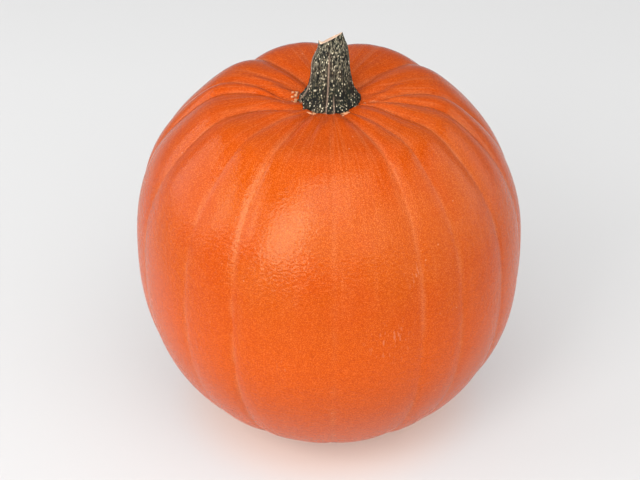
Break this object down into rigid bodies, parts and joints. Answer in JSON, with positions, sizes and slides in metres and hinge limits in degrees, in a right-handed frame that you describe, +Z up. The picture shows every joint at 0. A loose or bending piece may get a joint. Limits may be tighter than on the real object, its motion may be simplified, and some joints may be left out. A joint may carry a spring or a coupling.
{
  "type": "pumpkin",
  "caption": "Round ribbed pumpkin with shallow furrows, a low hollow crown and a short, flared, grooved stem with an oblique cut; stands on its own base.",
  "frame": {"origin": "middle of the base, on the surface the pumpkin stands on", "axes": "+Z up through the stem, -Y towards the front, +X to the right seen from the front"},
  "size_m": [0.26, 0.2599, 0.2945],
  "materials": {
    "pumpkin_skin": "waxy orange rind, soft sheen, fine pores",
    "dry_stem": "dry, dark olive and tan flecked stem, dull"
  },
  "bodies": {
    "root": {"pumpkin_body": "pumpkin_skin", "stem": "dry_stem"}
  },
  "joints": []
}
